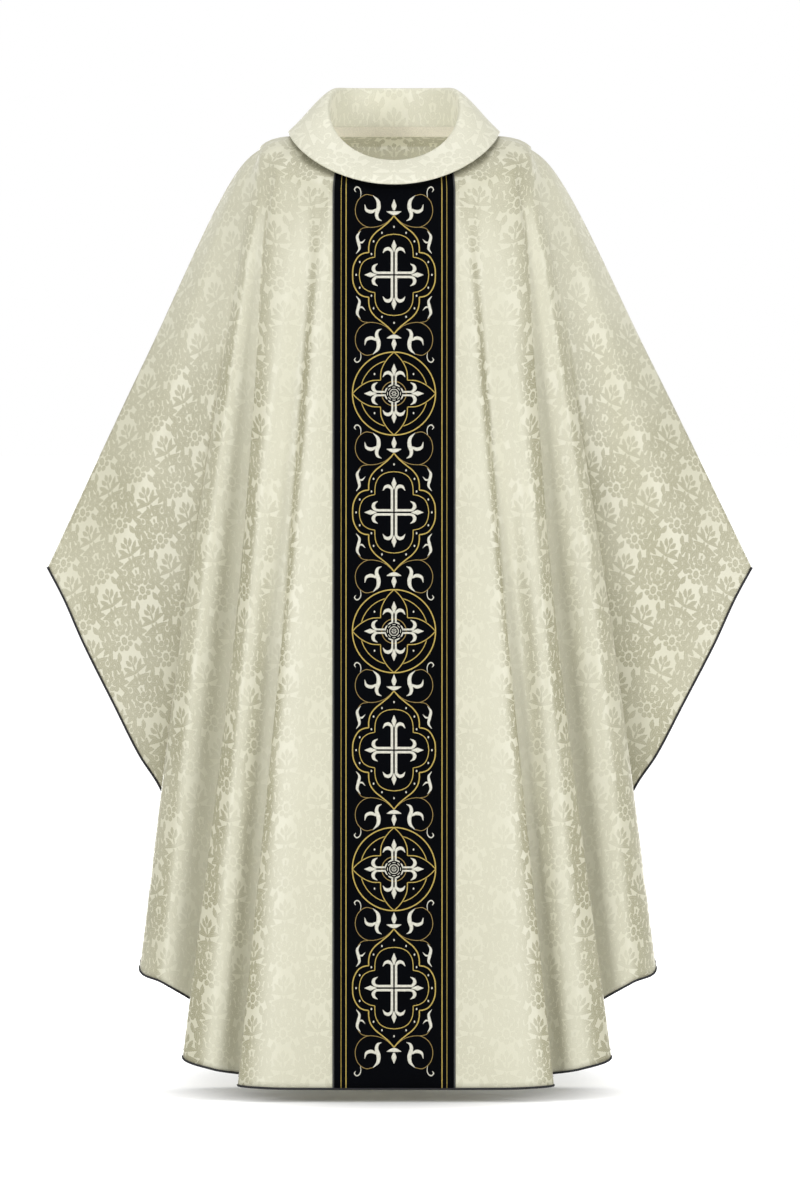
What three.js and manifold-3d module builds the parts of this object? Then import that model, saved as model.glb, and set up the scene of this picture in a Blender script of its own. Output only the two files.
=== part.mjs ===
// A gothic chasuble with a fold-over collar, as it hangs from the shoulders of its wearer.
// Millimetres, +Z up. The wearer faces -Y and the viewer's right is +X.
// The origin is midway between the shoulders, at the height where they carry the cloth.

import * as THREE from 'three';
import { mergeVertices } from 'three/addons/utils/BufferGeometryUtils.js';
import Module from 'manifold-3d';

const wasm = await Module();
wasm.setup();

// ---- Driving dimensions. Heights are measured up from the front hem. ----

const SHOULDER_HEIGHT = 1326;
const CLOTH = 1.6;
const GAP = 0.35;

const COLLAR_CLOTH = 1.6;
const COLLAR_ROLL = 5;
const COLLAR_STEPS = 32;
const COLLAR_CLEARANCE = 3;
const NECK_TAPE = { below: 8, part: 0.12, thickness: 1, inset: 1.8 };
const INTERLINING = { from: 0.16, to: 0.9, thickness: 1.2 };

const ORPHREY_HALF = 85.8;
const ORPHREY_THICKNESS = 1.2;
const FLAT_HALF = 92;
const EDGE_TRIM = { inner: 86.2, outer: 89.6, thickness: 1.6 };
const GOLD_LINES = { outer: { at: 73.8, width: 2.4 }, inner: { at: 67.3, width: 3.4 } };
const LINE_THICKNESS = 0.8;
const PIPING_RADIUS = 1.6;
const PIPING_GAP = 1.1;

const FIRST_MEDALLION = 1137;
const MEDALLION_PITCH = 332.5;
const OGEE_COUNT = 4;
const ROUND_COUNT = 3;
const STITCH_THICKNESS = 1.2;

// How much the left side hangs closer in, and the right side further out, than the mean shape.
const SIDE_SPREAD = 0.02;

// The back is cut and carried a little differently from the front.
const BACK = {
  crestDepth: 0.92, crestHeight: 1320, dropDepth: 1.04, dropHeight: 1222, depth: 0.93, lift: 6,
};

// Fold lines of the draped cloth, from the edge of the flat middle out to the shoulder seam.
// Each one starts at an angle around the neck, goes over the shoulder at its crest, drops past
// the chest or upper arm, and ends at the free edge. A point is [across, forward, up].
const FOLD_LINES = [
  { name: 'flat_edge', neck: 60, crest: [92, 128, 1256], drop: [92, 146, 1170],
    mid: [92, 187, 650], hem: [92, 226, 0] },
  { name: 'middle_swell', neck: 62, crest: [97, 124, 1258], drop: [99, 144, 1170],
    mid: [138, 184, 650], hem: [185, 220, 1] },
  { name: 'middle_edge', neck: 63.5, crest: [103, 120, 1260], drop: [108, 140, 1170],
    mid: [156, 180, 650], hem: [221, 203, 5] },
  { name: 'middle_tuck', neck: 65, crest: [109, 117, 1262], drop: [114, 136, 1170],
    mid: [150, 168, 652], hem: [175, 173, 14] },
  { name: 'inner_start', neck: 67, crest: [117, 112, 1265], drop: [122, 132, 1170],
    mid: [170, 164, 655], hem: [214, 168, 20] },
  { name: 'inner_ridge', neck: 70, crest: [135, 101, 1271], drop: [148, 125, 1172],
    mid: [206, 167, 660], hem: [262, 166, 27] },
  { name: 'inner_edge', neck: 74, crest: [165, 84, 1284], drop: [181, 108, 1176],
    mid: [223, 150, 664], hem: [300, 141, 44] },
  { name: 'inner_tuck', neck: 75.5, crest: [170, 78, 1288], drop: [184, 99, 1178],
    mid: [200, 119, 668], hem: [236, 113, 85] },
  { name: 'outer_start', neck: 77, crest: [175, 71, 1292], drop: [192, 96, 1180],
    mid: [230, 116, 674], hem: [282, 111, 120] },
  { name: 'outer_ridge', neck: 79, crest: [181, 62, 1297], drop: [204, 93, 1182],
    mid: [274, 128, 682], hem: [332, 112, 147] },
  { name: 'outer_edge', neck: 81, crest: [188, 52, 1303], drop: [213, 82, 1186],
    mid: [294, 108, 694], hem: [362, 82, 167] },
  { name: 'outer_tuck', neck: 82.5, crest: [190, 44, 1307], drop: [215, 73, 1196],
    mid: [262, 72, 735], hem: [286, 45, 290] },
  { name: 'wing_start', neck: 84, crest: [190, 36, 1311], drop: [218, 65, 1210],
    mid: [280, 74, 795], hem: [330, 60, 416] },
  { name: 'wing_inner', neck: 85, crest: [188, 29, 1315], drop: [221, 56, 1224],
    mid: [293, 70, 835], hem: [362, 58, 466] },
  { name: 'wing_middle', neck: 86, crest: [185, 22, 1318], drop: [224, 46, 1238],
    mid: [312, 60, 880], hem: [398, 47, 536] },
  { name: 'wing_ridge', neck: 87.5, crest: [181, 13, 1322], drop: [227, 32, 1256],
    mid: [336, 50, 935], hem: [442, 30, 622] },
  { name: 'wing_outer', neck: 89, crest: [177, 6, 1325], drop: [223, 15, 1276],
    mid: [348, 27, 980], hem: [470, 14, 684] },
  { name: 'shoulder_seam', neck: 90, crest: [172, 0, 1327], drop: [216, 0, 1293],
    mid: [355, 0, 1020], hem: [494, 0, 729] },
];

// How the cloth is divided: across the flat middle, between two fold lines, and down each line.
const FLAT_COLUMNS = [0, 22, 44, 66, ORPHREY_HALF, FLAT_HALF];
const COLUMNS_PER_SPAN = [2, 2, 2, 2, 2, 2, 2, 2, 2, 2, 2, 2, 1, 1, 1, 1, 1];
const ROWS_TO_CREST = [0, 0.5];
const ROWS_BELOW_CREST = [0, 1 / 6, 1 / 3, 4 / 9, 5 / 9, 2 / 3, 3 / 4, 5 / 6, 11 / 12, 1];

// ---- Rings around the neck, at an angle of 0 at the front, 90 at the sides and 180 at the back. ----

const radians = (degrees) => degrees * Math.PI / 180;

/** A point at an angle around the neck, on an oval that is deeper or shallower at the back. */
function ringPoint(degrees, half, front, back, height) {
  const c = Math.cos(radians(degrees));
  return new THREE.Vector3(half * Math.sin(radians(degrees)), c > 0 ? -front * c : -back * c, height(c));
}

/** The seam where the collar meets the panels. */
function neckSeam(degrees) {
  return ringPoint(degrees, 96, 92, 88, (c) => 1337 - (c > 0 ? 71 * c ** 1.2 : 2 * c));
}

/** The rolled top of the collar. */
function collarTop(degrees) {
  const lift = (c) => Math.sin(Math.PI / 2 * Math.min(1, -c / 0.6));
  return ringPoint(degrees, 92.5, 84, 84, (c) => (c > 0 ? 1373 - 79 * c : 1373 + 25 * lift(c)));
}

/** The free edge of the collar, which lies over the shoulders. */
function collarEdge(degrees) {
  return ringPoint(degrees, 148, 134, 106, (c) => 1339 - (c > 0 ? 75 * c ** 1.4 : 0));
}

// ---- Closed solids ----

/** A closed mesh geometry from a list of points and a list of triangles. */
function geometryFrom(points, triangles) {
  const geometry = new THREE.BufferGeometry();
  geometry.setAttribute('position', new THREE.Float32BufferAttribute(points.flatMap((p) => p.toArray()), 3));
  geometry.setIndex(triangles);
  geometry.computeVertexNormals();
  return geometry;
}

/** A thin closed solid between two matching grids of points. A ring grid closes on itself sideways. */
function shell(outer, inner, ring = false) {
  const rows = outer.length;
  const columns = outer[0].length;
  const at = (face, r, c) => face * rows * columns + r * columns + (c % columns);
  const triangles = [];
  const quad = (a, b, c, d) => triangles.push(a, b, c, a, c, d);
  const spans = ring ? columns : columns - 1;
  for (let r = 0; r < rows - 1; r += 1) {
    for (let c = 0; c < spans; c += 1) {
      quad(at(0, r, c), at(0, r + 1, c), at(0, r + 1, c + 1), at(0, r, c + 1));
      quad(at(1, r, c), at(1, r, c + 1), at(1, r + 1, c + 1), at(1, r + 1, c));
    }
    if (!ring) {
      quad(at(0, r, 0), at(1, r, 0), at(1, r + 1, 0), at(0, r + 1, 0));
      quad(at(0, r, spans), at(0, r + 1, spans), at(1, r + 1, spans), at(1, r, spans));
    }
  }
  for (let c = 0; c < spans; c += 1) {
    quad(at(0, 0, c), at(0, 0, c + 1), at(1, 0, c + 1), at(1, 0, c));
    quad(at(0, rows - 1, c), at(1, rows - 1, c), at(1, rows - 1, c + 1), at(0, rows - 1, c + 1));
  }
  return geometryFrom([...outer.flat(), ...inner.flat()], triangles);
}

/** The direction through a point, halfway between the step that reaches it and the step that leaves it. */
function stepDirection(before, point, after, across = new THREE.Vector3()) {
  const steps = [point.clone().sub(before), after.clone().sub(point)];
  steps.forEach((step) => step.addScaledVector(across, -step.dot(across)).normalize());
  return steps[0].add(steps[1]).normalize();
}

/** The outward direction at a point of a grid, from the neighbours on each side of it. */
function gridNormal(grid, r, c, ring) {
  const columns = grid[0].length;
  const left = ring ? (c + columns - 1) % columns : Math.max(c - 1, 0);
  const right = ring ? (c + 1) % columns : Math.min(c + 1, columns - 1);
  const above = Math.max(r - 1, 0);
  const below = Math.min(r + 1, grid.length - 1);
  const down = grid[below][c].clone().sub(grid[above][c]).normalize();
  return down.clone().cross(stepDirection(grid[r][left], grid[r][c], grid[r][right], down)).normalize();
}

/** A grid moved along its outward directions. The columns on the shoulder seam stay in its plane. */
function offsetGrid(grid, distance, { ring = false, seams = false } = {}) {
  return grid.map((row, r) => row.map((point, c) => {
    const normal = gridNormal(grid, r, c, ring);
    if (seams && (c === 0 || c === row.length - 1)) {
      normal.setY(0).normalize();
    }
    return point.clone().addScaledVector(normal, distance);
  }));
}

/** The solid that two closed geometries share. */
function intersection(geometryA, geometryB) {
  const [a, b] = [geometryA, geometryB].map((geometry) => {
    const bare = geometry.clone();
    bare.deleteAttribute('normal');
    bare.deleteAttribute('uv');
    const merged = mergeVertices(bare, 1e-4);
    const vertProperties = new Float32Array(merged.attributes.position.array);
    const triVerts = new Uint32Array(merged.index.array);
    return new wasm.Manifold(new wasm.Mesh({ numProp: 3, vertProperties, triVerts }));
  });
  const mesh = a.intersect(b).getMesh();
  const geometry = new THREE.BufferGeometry();
  geometry.setAttribute('position', new THREE.BufferAttribute(mesh.vertProperties, 3));
  geometry.setIndex(new THREE.BufferAttribute(mesh.triVerts, 1));
  geometry.computeVertexNormals();
  return geometry;
}

// ---- The drape ----

/** A fold line's point at one station, on the front or the back of the garment. */
function stationPoint(line, station, face) {
  const [across, forward, up] = line[station];
  if (face === 'front') {
    return new THREE.Vector3(across, -forward, up);
  }
  const depth = { crest: BACK.crestDepth, drop: BACK.dropDepth, mid: BACK.depth, hem: BACK.depth }[station];
  const lowest = { crest: BACK.crestHeight, drop: BACK.dropHeight, mid: 0, hem: 0 }[station];
  const seam = line.name === 'shoulder_seam';
  const lift = station === 'hem' && !seam ? BACK.lift : 0;
  return new THREE.Vector3(across, forward * depth, Math.max(up, seam ? 0 : lowest) + lift);
}

/** Where a column of the cloth lies: its angle at the neck and its four stations. */
function columnStations(face) {
  const names = ['crest', 'drop', 'mid', 'hem'];
  const flatEdge = names.map((station) => stationPoint(FOLD_LINES[0], station, face));
  const flat = FLAT_COLUMNS.slice(0, -1).map((across) => ({
    neck: FOLD_LINES[0].neck * across / FLAT_HALF,
    points: flatEdge.map((p) => new THREE.Vector3(across, p.y, p.z)),
  }));
  const curves = names.map((station) => new THREE.CatmullRomCurve3(
    FOLD_LINES.map((line) => stationPoint(line, station, face)), false, 'centripetal'));
  const spans = FOLD_LINES.length - 1;
  const folded = COLUMNS_PER_SPAN.flatMap((count, span) => (
    Array.from({ length: count }, (_, k) => span + k / count)));
  folded.push(spans);
  return [...flat, ...folded.map((s) => {
    const span = Math.min(Math.floor(s), spans - 1);
    return {
      neck: THREE.MathUtils.lerp(FOLD_LINES[span].neck, FOLD_LINES[span + 1].neck, s - span),
      points: curves.map((curve) => curve.getPoint(s / spans)),
    };
  })];
}

/** The points down one column, from the neck seam to the free edge. */
function columnPoints(column, face) {
  const neck = neckSeam(face === 'front' ? column.neck : 180 - column.neck);
  const below = new THREE.CatmullRomCurve3(column.points, false, 'centripetal');
  const crest = column.points[0];
  const reach = crest.distanceTo(neck) / 3;
  const leave = neck.clone().lerp(crest, 1 / 3);
  const slope = below.getTangent(0).add(crest.clone().sub(neck).normalize()).normalize();
  const arrive = crest.clone().addScaledVector(slope, -reach);
  const above = new THREE.CubicBezierCurve3(neck, leave, arrive, crest);
  return [...ROWS_TO_CREST.map((t) => above.getPoint(t)), ...ROWS_BELOW_CREST.map((t) => below.getPoint(t))];
}

/** Moves a point to its side of the garment, where the left hangs closer in than the right. */
function toSide(point, side) {
  const spread = 1 + side * SIDE_SPREAD;
  const across = point.x > FLAT_HALF ? FLAT_HALF + (point.x - FLAT_HALF) * spread : point.x;
  return new THREE.Vector3(side * across, point.y, point.z);
}

/** The outer surface of a panel, as rows from neck to hem and columns from the wearer's right to left. */
function panelGrid(face) {
  const sign = face === 'front' ? 1 : -1;
  const half = columnStations(face).map((column) => columnPoints(column, face));
  const start = half.slice(1).reverse().map((points) => points.map((p) => toSide(p, -sign)));
  const end = half.map((points) => points.map((p) => toSide(p, sign)));
  const columns = [...start, ...end];
  const outward = face === 'front' ? -1 : 1;
  for (const column of [columns[0], columns.at(-1)]) {
    column.forEach((p) => p.setY(outward * GAP / 2));
  }
  return columns[0].map((_, r) => columns.map((column) => column[r]));
}

const GRIDS = { front: panelGrid('front'), back: panelGrid('back') };
const MIDDLE_COLUMN = (GRIDS.front[0].length - 1) / 2;

/** One panel of cloth, from wing tip to wing tip. */
function panel(face) {
  const grid = GRIDS[face].map((row) => row.map((p) => p.clone()));
  return shell(grid, offsetGrid(grid, -CLOTH, { seams: true }));
}

/** The cord's line just outside the free edge of a panel, as a curve with one sample at each column. */
class FreeEdge extends THREE.Curve {
  constructor(face) {
    super();
    const grid = GRIDS[face];
    const edge = grid.at(-1);
    const last = grid.length - 1;
    this.points = edge.map((p, c) => {
      const along = stepDirection(edge[Math.max(c - 1, 0)], p, edge[Math.min(c + 1, edge.length - 1)]);
      const normal = gridNormal(grid, last, c);
      const outward = normal.clone().cross(along).normalize();
      outward.multiplyScalar(Math.sign(outward.dot(p.clone().sub(grid[last - 1][c]))));
      return p.clone().addScaledVector(outward, PIPING_RADIUS + PIPING_GAP)
        .addScaledVector(normal, -CLOTH / 2);
    });
    this.points[0].y = this.points.at(-1).y = Math.sign(this.points[1].y) * (PIPING_RADIUS + GAP / 2);
  }

  getUtoTmapping(u) {
    return u;
  }

  getPoint(t) {
    const place = t * (this.points.length - 1);
    const before = Math.min(Math.floor(place), this.points.length - 2);
    return this.points[before].clone().lerp(this.points[before + 1], place - before);
  }
}

/** The cord along a panel's free edge. */
function piping(face) {
  const outline = Array.from({ length: 6 }, (_, k) => new THREE.Vector2(PIPING_RADIUS, 0)
    .rotateAround(new THREE.Vector2(), radians(60 * k)));
  const edge = new FreeEdge(face);
  const settings = { steps: edge.points.length - 1, extrudePath: edge };
  return new THREE.ExtrudeGeometry(new THREE.Shape(outline), settings);
}

// ---- The orphrey and its embroidery ----

/** The black band down the middle of a panel. */
function orphrey(face) {
  const columns = FLAT_COLUMNS.indexOf(ORPHREY_HALF);
  const grid = GRIDS[face].slice(1).map((row) => (
    row.slice(MIDDLE_COLUMN - columns, MIDDLE_COLUMN + columns + 1)));
  return shell(offsetGrid(grid, GAP + ORPHREY_THICKNESS), offsetGrid(grid, GAP));
}

/** A layer of even thickness over the flat middle, from below the collar to the hem. */
function layer(face, bottom, thickness, left, right) {
  const middle = GRIDS[face].slice(ROWS_TO_CREST.length).map((row) => row[MIDDLE_COLUMN]);
  const side = (distance) => middle.map((p, k) => {
    const before = middle[Math.max(k - 1, 0)];
    const after = middle[Math.min(k + 1, middle.length - 1)];
    const along = new THREE.Vector2(after.y - before.y, after.z - before.z).normalize();
    const outward = face === 'front'
      ? new THREE.Vector2(along.y, -along.x)
      : new THREE.Vector2(-along.y, along.x);
    return new THREE.Vector2(p.y, p.z).addScaledVector(outward, distance);
  });
  const outline = [...side(bottom), ...side(bottom + thickness).reverse()];
  const settings = { depth: right - left, bevelEnabled: false };
  const geometry = new THREE.ExtrudeGeometry(new THREE.Shape(outline), settings);
  const turn = new THREE.Matrix4().makeBasis(
    new THREE.Vector3(0, 1, 0), new THREE.Vector3(0, 0, 1), new THREE.Vector3(1, 0, 0));
  return geometry.applyMatrix4(turn).translate(left, 0, 0);
}

/** An embroidered outline laid on the orphrey, centred at a height above the hem. */
function embroidery(face, shape, height) {
  const reach = 400;
  const cutter = new THREE.ExtrudeGeometry(shape, { depth: reach, bevelEnabled: false });
  cutter.rotateX(Math.PI / 2);
  if (face === 'back') {
    cutter.rotateZ(Math.PI);
  }
  cutter.translate(0, 0, height);
  const base = 2 * GAP + ORPHREY_THICKNESS;
  return intersection(cutter, layer(face, base, STITCH_THICKNESS, -ORPHREY_HALF, ORPHREY_HALF));
}

/** Repeats the points of an upper right quarter, from top to side, around all four quarters. */
function fourQuarters(quarter) {
  const lowerRight = quarter.slice(0, -1).reverse().map((p) => new THREE.Vector2(p.x, -p.y));
  const right = [...quarter, ...lowerRight];
  const left = right.slice(1, -1).reverse().map((p) => new THREE.Vector2(-p.x, p.y));
  return [...right, ...left];
}

/** Points along an arc, from one angle to another. */
function arc(x, y, radius, from, to, steps) {
  return Array.from({ length: steps + 1 }, (_, k) => {
    const angle = radians(from + (to - from) * k / steps);
    return new THREE.Vector2(x + radius * Math.cos(angle), y + radius * Math.sin(angle));
  });
}

/** A pointed four-lobed frame: an ogee over a round upper lobe, then a cusp and a round side lobe. */
function ogeeShape() {
  const outer = fourQuarters([
    new THREE.Vector2(0, 82.3), new THREE.Vector2(6, 72),
    ...arc(3, 36, 32, 66, -6, 3), ...arc(24.2, 0, 34, 68, 0, 3),
  ]);
  const inner = fourQuarters([...arc(0, 31, 26.4, 90, -9, 4), ...arc(21, 0, 27.3, 72, 0, 3)]);
  const shape = new THREE.Shape(outer);
  shape.holes.push(new THREE.Path(inner.reverse()));
  return shape;
}

/** A plain round frame. */
function roundShape() {
  const shape = new THREE.Shape(arc(0, 0, 58.1, 0, 345, 23));
  shape.holes.push(new THREE.Path(arc(0, 0, 51, 345, 0, 23)));
  return shape;
}

/** A cross with a leafed end on each arm. */
function crossShape(tall, wide) {
  const arm = (length) => [
    [4.9, 4.9], [4.9, length - 22], [12, length - 21], [12.5, length - 13], [6, length - 14], [0, length],
    [-6, length - 14], [-12.5, length - 13], [-12, length - 21], [-4.9, length - 22],
  ];
  const turned = [tall, wide, tall, wide].flatMap((length, quarter) => arm(length)
    .map(([x, y]) => new THREE.Vector2(x, y).rotateAround(new THREE.Vector2(), radians(90 * quarter))));
  return new THREE.Shape(turned);
}

// ---- The collar ----

/** A grid that goes all round the neck, with one row for each function of the angle. */
function neckGrid(rows) {
  return rows.map((place) => Array.from({ length: COLLAR_STEPS }, (_, k) => {
    const angle = 360 * k / COLLAR_STEPS;
    const point = place(Math.min(angle, 360 - angle));
    return angle > 180 ? point.setX(-point.x) : point;
  }));
}

/** A place part of the way from one ring to another, pushed outwards. */
function between(ringA, ringB, part, push = 0) {
  return (degrees) => {
    const point = ringA(degrees).lerp(ringB(degrees), part);
    const outward = new THREE.Vector3(Math.sin(radians(degrees)), -Math.cos(radians(degrees)), 0);
    return point.addScaledVector(outward, push);
  };
}

/** The foot of the collar's stand, a little above the neck seam. */
const standFoot = (degrees) => neckSeam(degrees).setZ(neckSeam(degrees).z + COLLAR_CLEARANCE);

/** The collar: a stand that rises from the neck seam, rolls over, and falls over the shoulders. */
function collar() {
  const rollTop = (degrees) => between(collarTop, collarEdge, 0, COLLAR_ROLL / 2)(degrees)
    .setZ(collarTop(degrees).z + COLLAR_ROLL / 2);
  const grid = neckGrid([
    standFoot, between(collarTop, standFoot, 0.5), collarTop, rollTop,
    between(collarTop, collarEdge, 0.14, COLLAR_ROLL / 2), between(collarTop, collarEdge, 0.5, 3), collarEdge,
  ]);
  return shell(grid, offsetGrid(grid, -COLLAR_CLOTH, { ring: true }), true);
}

/** The stiffening that holds the collar's stand up, hidden between the stand and the fall. */
function interlining() {
  const part = (amount) => between(collarTop, standFoot, amount);
  const middle = (INTERLINING.from + INTERLINING.to) / 2;
  const grid = neckGrid([part(INTERLINING.to), part(middle), part(INTERLINING.from)]);
  const inside = -COLLAR_CLOTH - GAP;
  return shell(offsetGrid(grid, inside, { ring: true }),
    offsetGrid(grid, inside - INTERLINING.thickness, { ring: true }), true);
}

/** The tape that covers the neck seam on the inside. */
function neckTape() {
  const lowered = (degrees) => neckSeam(degrees).setZ(neckSeam(degrees).z - NECK_TAPE.below);
  const grid = neckGrid([lowered, standFoot, between(standFoot, collarTop, NECK_TAPE.part)]);
  return shell(offsetGrid(grid, NECK_TAPE.inset + NECK_TAPE.thickness, { ring: true }),
    offsetGrid(grid, NECK_TAPE.inset, { ring: true }), true);
}

const group = new THREE.Group();
group.position.z = -SHOULDER_HEIGHT;
export default group;

const material = (color, roughness) => new THREE.MeshStandardMaterial({ color, roughness, metalness: 0 });
const finish = {
  damask: () => material(0xd9d6c2, 0.6),
  collarCloth: () => material(0xe3e1d2, 0.6),
  interlining: () => material(0xe8e6dc, 0.9),
  tape: () => material(0xd8cdb0, 0.8),
  velvet: () => material(0x07080a, 0.85),
  edging: () => material(0x26272a, 0.8),
  cord: () => material(0x1c1c1f, 0.75),
  gold: () => material(0xc0a24a, 0.45),
  silver: () => material(0xdad8cc, 0.45),
};

/** Adds one named sub-part. */
function add(name, geometry, look) {
  const mesh = new THREE.Mesh(geometry, finish[look]());
  mesh.name = name;
  group.add(mesh);
}

for (const face of ['front', 'back']) {
  add(`${face}_panel`, panel(face), 'damask');
  add(`${face}_edge_piping`, piping(face), 'cord');
  add(`${face}_orphrey`, orphrey(face), 'velvet');
  for (const [sideName, side] of [['left', -1], ['right', 1]]) {
    const span = (a, b) => [Math.min(side * a, side * b), Math.max(side * a, side * b)];
    add(`${face}_orphrey_edging_${sideName}`,
      layer(face, GAP, EDGE_TRIM.thickness, ...span(EDGE_TRIM.inner, EDGE_TRIM.outer)), 'edging');
    for (const [lineName, line] of Object.entries(GOLD_LINES)) {
      const edges = span(line.at - line.width / 2, line.at + line.width / 2);
      add(`${face}_gold_line_${lineName}_${sideName}`,
        layer(face, 2 * GAP + ORPHREY_THICKNESS, LINE_THICKNESS, ...edges), 'gold');
    }
  }
  for (let k = 0; k < OGEE_COUNT; k += 1) {
    const height = FIRST_MEDALLION - k * MEDALLION_PITCH;
    add(`${face}_ogee_frame_${k + 1}`, embroidery(face, ogeeShape(), height), 'gold');
    add(`${face}_ogee_cross_${k + 1}`, embroidery(face, crossShape(49, 41.3), height), 'silver');
  }
  for (let k = 0; k < ROUND_COUNT; k += 1) {
    const height = FIRST_MEDALLION - (k + 0.5) * MEDALLION_PITCH;
    add(`${face}_round_frame_${k + 1}`, embroidery(face, roundShape(), height), 'gold');
    add(`${face}_round_cross_${k + 1}`, embroidery(face, crossShape(41.5, 41.5), height), 'silver');
  }
}
add('collar', collar(), 'collarCloth');
add('collar_interlining', interlining(), 'interlining');
add('neck_tape', neckTape(), 'tape');
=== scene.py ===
"""A gothic chasuble in ivory damask with an embroidered black orphrey, hanging from the shoulders.

Metres, +Z up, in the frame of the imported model: the wearer faces -Y, the origin is midway between
the shoulders, and heights in the tables are millimetres above the front hem.
"""
import math

import bpy
import numpy as np
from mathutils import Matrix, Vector


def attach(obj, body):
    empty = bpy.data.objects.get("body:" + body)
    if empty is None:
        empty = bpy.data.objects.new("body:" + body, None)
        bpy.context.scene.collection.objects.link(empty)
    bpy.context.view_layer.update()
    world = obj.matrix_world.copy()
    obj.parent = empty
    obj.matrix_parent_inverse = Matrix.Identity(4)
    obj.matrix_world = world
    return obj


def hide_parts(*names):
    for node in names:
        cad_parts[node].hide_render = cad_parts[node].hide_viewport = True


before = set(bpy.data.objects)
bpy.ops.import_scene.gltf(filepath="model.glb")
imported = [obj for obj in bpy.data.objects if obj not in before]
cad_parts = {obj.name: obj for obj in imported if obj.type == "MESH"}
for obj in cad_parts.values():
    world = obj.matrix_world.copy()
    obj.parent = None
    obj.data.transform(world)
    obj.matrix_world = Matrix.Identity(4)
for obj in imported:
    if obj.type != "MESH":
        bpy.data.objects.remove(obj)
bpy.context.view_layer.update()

MM = 0.001
FACES = ("front", "back")
MEDALLIONS = {"ogee": 4, "round": 3}

# ---- Driving dimensions, in millimetres ----

SHOULDER_HEIGHT = 1326
CLOTH = 1.5
FLAT_HALF = 92
# How much wider the +X side's folds are than the middle of both sides, and the -X side's narrower.
SIDE_SPREAD = 0.02
ORPHREY_HALF = 84.0
ORPHREY_TOP = 1.55
EDGING_MIDDLE, EDGING_WIDTH, EDGING_RISE = 84.9, 2.4, 1.8
GOLD_LINES = {"outer": (74.0, 1.0), "inner": (67.1, 1.6)}
GOLD_RISE = 0.8
FIRST_MEDALLION = 1137
MEDALLION_PITCH = 332.5
PIPING_RADIUS = 1.6
# Half the distance between the two pipings where they meet at the wing tips.
PIPING_GAP = 1.8
COLLAR_CLOTH = 1.6
COLLAR_ROLL = 3.2
TAPE_CLOTH = 0.8
# How the back's fold lines differ from the front's: shares of the depth, and heights.
BACK = {"crest_depth": 0.92, "crest_height": 1320, "drop_depth": 1.04, "drop_height": 1222,
        "depth": 0.93, "lift": 6}

# Fold lines of the draped cloth, from the edge of the flat middle out to the shoulder seam: the
# angle round the neck, then the crest, chest, middle and hem as (across, forward, up). They follow
# the CAD source's, with rounder folds at the middle and the hem.
FOLD_LINES = [
    (60, (92, 128, 1256), (92, 146, 1170), (92, 187, 650), (92, 226, 0)),
    (62, (97, 124, 1258), (99, 144, 1170), (129, 186, 650), (180, 221, 1)),
    (63.5, (103, 120, 1260), (108, 140, 1170), (156, 175, 650), (221, 197, 5)),
    (65, (109, 117, 1262), (114, 136, 1170), (150, 163, 652), (175, 170, 14)),
    (67, (117, 112, 1265), (122, 132, 1170), (170, 156, 655), (214, 157, 20)),
    (70, (135, 101, 1271), (148, 125, 1172), (203, 170, 660), (258, 173, 27)),
    (74, (165, 84, 1284), (181, 108, 1176), (223, 150, 664), (300, 141, 44)),
    (75.5, (170, 78, 1288), (184, 99, 1178), (200, 125, 668), (236, 117, 85)),
    (77, (175, 71, 1292), (192, 96, 1180), (230, 117, 674), (282, 108, 120)),
    (79, (181, 62, 1297), (204, 93, 1182), (270, 132, 682), (328, 120, 147)),
    (81, (188, 52, 1303), (213, 82, 1186), (294, 108, 694), (362, 82, 167)),
    (82.5, (190, 44, 1307), (215, 73, 1196), (262, 72, 735), (286, 45, 290)),
    (84, (190, 36, 1311), (218, 65, 1210), (280, 74, 795), (330, 60, 416)),
    (85, (188, 29, 1315), (221, 56, 1224), (293, 70, 835), (362, 58, 466)),
    (86, (185, 22, 1318), (224, 46, 1238), (312, 60, 880), (398, 47, 536)),
    (87.5, (181, 13, 1322), (227, 32, 1256), (336, 50, 935), (442, 30, 622)),
    (89, (177, 6, 1325), (223, 15, 1276), (348, 27, 980), (470, 14, 684)),
    (90, (172, 0, 1327), (216, 0, 1293), (355, 0, 1020), (494, 0, 729)),
]
FLAT_COLUMNS = 10
COLUMNS_PER_SPAN = 8
ROWS_TO_CREST = 10
ROWS_BELOW = (12, 64, 74)
# How far the grain turns over the wings, as a share of what the cloth's flare alone would give.
WING_TURN = 1.18
# Half the gap between the two panels along the shoulder seams.
SEAM_GAP = 0.175

# Ovals round the neck: half the width, then the depth in front and behind.
NECK_SEAM = (96, 92, 88)
COLLAR_TOP = (92.5, 84, 84)
COLLAR_EDGE = (148, 134, 106)
# Their heights at the sides, and how far each falls towards the front.
SEAM_HEIGHT, SEAM_FALL = 1337, 71
TOP_HEIGHT, TOP_FALL, TOP_RISE_BEHIND = 1373, 79, 25
EDGE_HEIGHT, EDGE_FALL = 1339, 75

# ---- Curves and rings ----


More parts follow.
